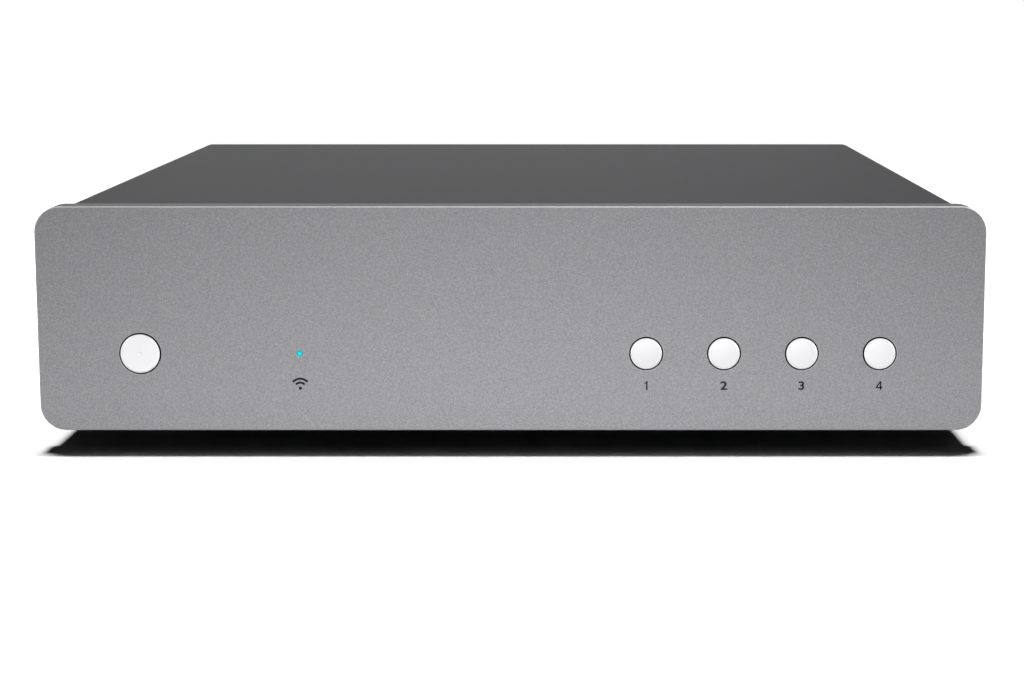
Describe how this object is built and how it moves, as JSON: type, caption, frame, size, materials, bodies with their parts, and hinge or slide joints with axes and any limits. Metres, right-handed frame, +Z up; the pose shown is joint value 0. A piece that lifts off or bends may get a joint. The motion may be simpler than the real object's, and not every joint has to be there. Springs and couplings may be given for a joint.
{
  "type": "network music streamer",
  "caption": "Half-width audio unit with a thick grey metal front, round push buttons with one small lamp, a dark folded cover, rubber feet and sockets at the back.",
  "frame": {"origin": "on the surface that the feet stand on, under the centre of the outline", "axes": "+X to the right as seen from the front, +Y from the front to the back, +Z up"},
  "size_m": [0.215, 0.191, 0.0565],
  "materials": {
    "black_plastic": "moulded",
    "board": "solder mask",
    "bright_screws": "zinc plated",
    "button_metal": "turned, silver anodised",
    "capacitor_sleeve": "shrunk sleeve",
    "chassis": "zinc plated sheet",
    "coax": "sleeve",
    "copper_winding": "enamelled copper",
    "cover": "fine matt dark grey",
    "dark_screws": "black oxide",
    "feet": "matt",
    "ferrite": "pressed ferrite",
    "front_panel": "bead-blasted, anodised grey",
    "fuse_glass": "clear",
    "gold": "gold plated",
    "heat_sink": "black anodised",
    "insulation": "matt",
    "insulator": "moulded",
    "lamp_lens": "lit cyan",
    "module_board": "solder mask",
    "nickel": "nickel plated",
    "power_board": "bare laminate",
    "rear_panel": "matt black",
    "ribbon": "grey sleeve",
    "socket_plastic": "moulded",
    "switch_plastic": "moulded",
    "tin_plate": "tin plated",
    "white_plastic": "moulded",
    "winding_tape": "yellow tape"
  },
  "bodies": {
    "body": {"aerial_leads": "coax", "aerial_nuts": "gold", "aerial_sockets": "gold", "base_tray": "chassis", "board_capacitors": "capacitor_sleeve", "board_components": "switch_plastic", "board_screws": "bright_screws", "bulk_capacitor": "capacitor_sleeve", "button_guide": "white_plastic", "case_screws": "dark_screws", "control_board": "board", "ethernet_contacts": "gold", "ethernet_socket": "nickel", "feet": "feet", "foot_screws": "dark_screws", "front_panel": "front_panel", "insulation_sheet": "insulation", "key_switches": "switch_plastic", "light_pipe": "lamp_lens", "line_filter": "copper_winding", "main_board": "board", "mains_fuse": "fuse_glass", "mains_inlet": "socket_plastic", "mains_pins": "nickel", "module_shield": "tin_plate", "network_module": "module_board", "optical_socket": "socket_plastic", "phono_housings": "socket_plastic", "phono_insulators": "insulator", "phono_sleeves": "gold", "power_board": "power_board", "power_heatsink": "heat_sink", "power_leads": "black_plastic", "rear_panel": "rear_panel", "ribbon_cable": "ribbon", "status_led": "lamp_lens", "top_cover": "cover", "transformer_core": "ferrite", "transformer_winding": "winding_tape", "usb_shell": "nickel", "usb_tongue": "socket_plastic"},
    "power_key": {"power_button": "button_metal", "power_plunger": "black_plastic", "power_actuator": "black_plastic"},
    "preset_key_1": {"preset_button_1": "button_metal", "preset_plunger_1": "black_plastic", "preset_actuator_1": "black_plastic"},
    "preset_key_2": {"preset_button_2": "button_metal", "preset_plunger_2": "black_plastic", "preset_actuator_2": "black_plastic"},
    "preset_key_3": {"preset_button_3": "button_metal", "preset_plunger_3": "black_plastic", "preset_actuator_3": "black_plastic"},
    "preset_key_4": {"preset_button_4": "button_metal", "preset_plunger_4": "black_plastic", "preset_actuator_4": "black_plastic"},
    "optical_flap": {"optical_shutter": "socket_plastic"}
  },
  "joints": [
    {"name": "power_press", "type": "slide", "parent": "body", "child": "power_key", "axis": [0, 1, 0], "range_m": [0, 0.0006], "stiffness_N_per_m": 1500, "springref_m": -0.0004},
    {"name": "preset_press_1", "type": "slide", "parent": "body", "child": "preset_key_1", "axis": [0, 1, 0], "range_m": [0, 0.0006], "stiffness_N_per_m": 1500, "springref_m": -0.0004},
    {"name": "preset_press_2", "type": "slide", "parent": "body", "child": "preset_key_2", "axis": [0, 1, 0], "range_m": [0, 0.0006], "stiffness_N_per_m": 1500, "springref_m": -0.0004},
    {"name": "preset_press_3", "type": "slide", "parent": "body", "child": "preset_key_3", "axis": [0, 1, 0], "range_m": [0, 0.0006], "stiffness_N_per_m": 1500, "springref_m": -0.0004},
    {"name": "preset_press_4", "type": "slide", "parent": "body", "child": "preset_key_4", "axis": [0, 1, 0], "range_m": [0, 0.0006], "stiffness_N_per_m": 1500, "springref_m": -0.0004},
    {"name": "optical_flap_swing", "type": "hinge", "parent": "body", "child": "optical_flap", "pos_m": [-0.006, 0.0847, 0.0265], "axis": [-1, 0, 0], "range_deg": [0, 80], "stiffness_Nm_per_rad": 0.0002, "springref_deg": -22.92}
  ]
}
